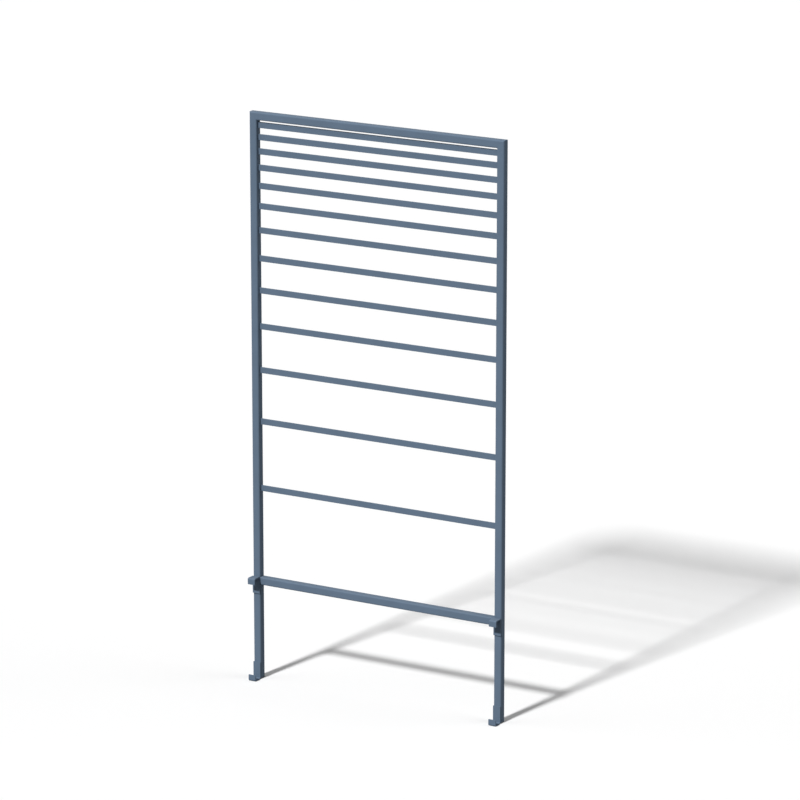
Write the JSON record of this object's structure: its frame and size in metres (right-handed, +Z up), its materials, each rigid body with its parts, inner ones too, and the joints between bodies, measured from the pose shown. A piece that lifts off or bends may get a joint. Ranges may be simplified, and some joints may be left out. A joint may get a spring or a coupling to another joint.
{
  "type": "garden trellis",
  "caption": "Tall welded metal trellis for climbing plants: flat rungs spaced wider towards the bottom, with hooks on both legs that grip the wall of a planter.",
  "frame": {"origin": "on the floor, midway between the uprights, in the plane of the hook straps' front faces, where the planter wall bears", "axes": "+X across the trellis to its right seen from the front, +Y from the hooks' side to the back, +Z up along the uprights"},
  "size_m": [0.7, 0.046, 1.435],
  "materials": {
    "coated_steel": "fine-textured matt powder coat, blue-grey anthracite",
    "cap_plastic": "moulded polyethylene, dark grey"
  },
  "bodies": {
    "root": {"upright_left": "coated_steel", "upright_right": "coated_steel", "top_rail": "coated_steel", "bottom_rail": "coated_steel", "rung_01": "coated_steel", "rung_02": "coated_steel", "rung_03": "coated_steel", "rung_04": "coated_steel", "rung_05": "coated_steel", "rung_06": "coated_steel", "rung_07": "coated_steel", "rung_08": "coated_steel", "rung_09": "coated_steel", "rung_10": "coated_steel", "rung_11": "coated_steel", "rung_12": "coated_steel", "rung_13": "coated_steel", "upper_hook_left": "coated_steel", "upper_hook_right": "coated_steel", "lower_hook_left": "coated_steel", "lower_hook_right": "coated_steel", "end_cap_left": "cap_plastic", "end_cap_right": "cap_plastic"}
  },
  "joints": []
}
